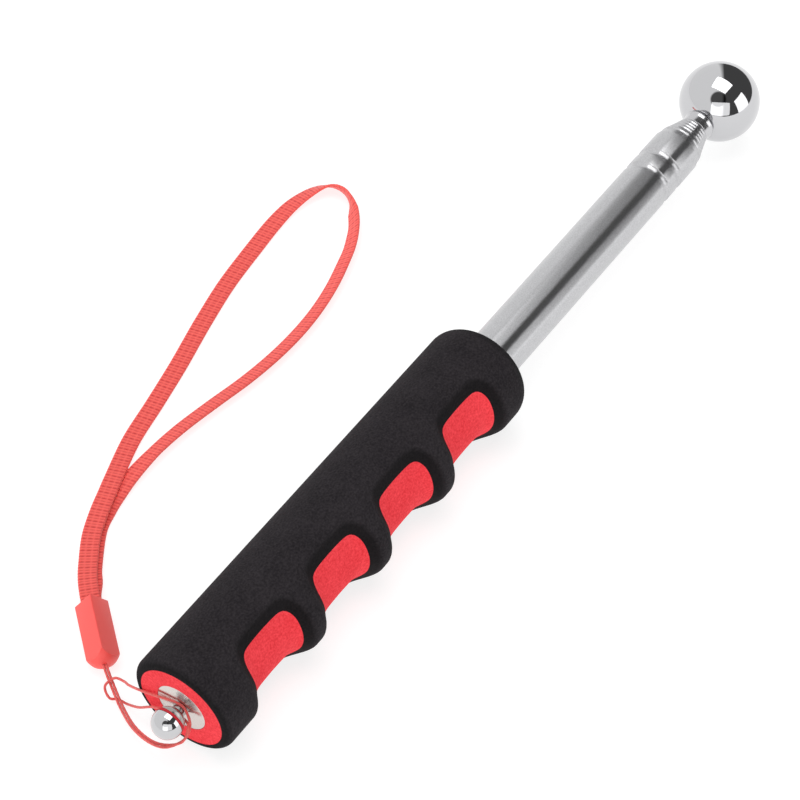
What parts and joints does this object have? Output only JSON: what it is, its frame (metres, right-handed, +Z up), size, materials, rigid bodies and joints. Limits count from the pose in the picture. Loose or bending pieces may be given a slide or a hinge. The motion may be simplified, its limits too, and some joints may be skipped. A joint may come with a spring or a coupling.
{
  "type": "telescopic sounding hammer",
  "caption": "Pull-out steel rod with a polished ball for tapping walls and tiles, a layered foam grip with finger grooves, and a wrist strap.",
  "frame": {"origin": "middle of the closed object's box, on the flat surface it lies on, measured without the strap", "axes": "+X along the rod towards the striking ball, -Y the way the finger grooves face, +Z up"},
  "size_m": [0.2948, 0.1098, 0.0315],
  "materials": {
    "black_foam": "matte",
    "red_foam": "matte",
    "tube_steel": "satin",
    "polished_steel": "polished",
    "bush_brass": "satin",
    "stud_steel": "satin",
    "coral_tape": "matte",
    "coral_plastic": "satin"
  },
  "bodies": {
    "handle": {"grip_sleeve": "black_foam", "grip_core": "red_foam", "outer_tube": "tube_steel", "guide_bush": "bush_brass", "tail_plug": "polished_steel", "tail_ball": "polished_steel", "strap_string": "coral_tape", "strap_bell": "coral_plastic", "strap_tape": "coral_tape"},
    "second_section": {"second_tube": "tube_steel", "second_bush": "bush_brass"},
    "third_section": {"third_tube": "tube_steel", "third_bush": "bush_brass"},
    "fourth_section": {"fourth_tube": "tube_steel", "fourth_bush": "bush_brass"},
    "fifth_section": {"fifth_tube": "tube_steel", "fifth_bush": "bush_brass"},
    "sixth_section": {"sixth_tube": "tube_steel", "sixth_bush": "bush_brass", "head_collar": "polished_steel", "head_stud": "stud_steel", "head_ball": "polished_steel"}
  },
  "joints": [
    {"name": "second_slide", "type": "slide", "parent": "handle", "child": "second_section", "axis": [1, 0, 0], "range_m": [0, 0.205]},
    {"name": "third_slide", "type": "slide", "parent": "second_section", "child": "third_section", "axis": [1, 0, 0], "range_m": [0, 0.205]},
    {"name": "fourth_slide", "type": "slide", "parent": "third_section", "child": "fourth_section", "axis": [1, 0, 0], "range_m": [0, 0.205]},
    {"name": "fifth_slide", "type": "slide", "parent": "fourth_section", "child": "fifth_section", "axis": [1, 0, 0], "range_m": [0, 0.195]},
    {"name": "sixth_slide", "type": "slide", "parent": "fifth_section", "child": "sixth_section", "axis": [1, 0, 0], "range_m": [0, 0.185]}
  ]
}
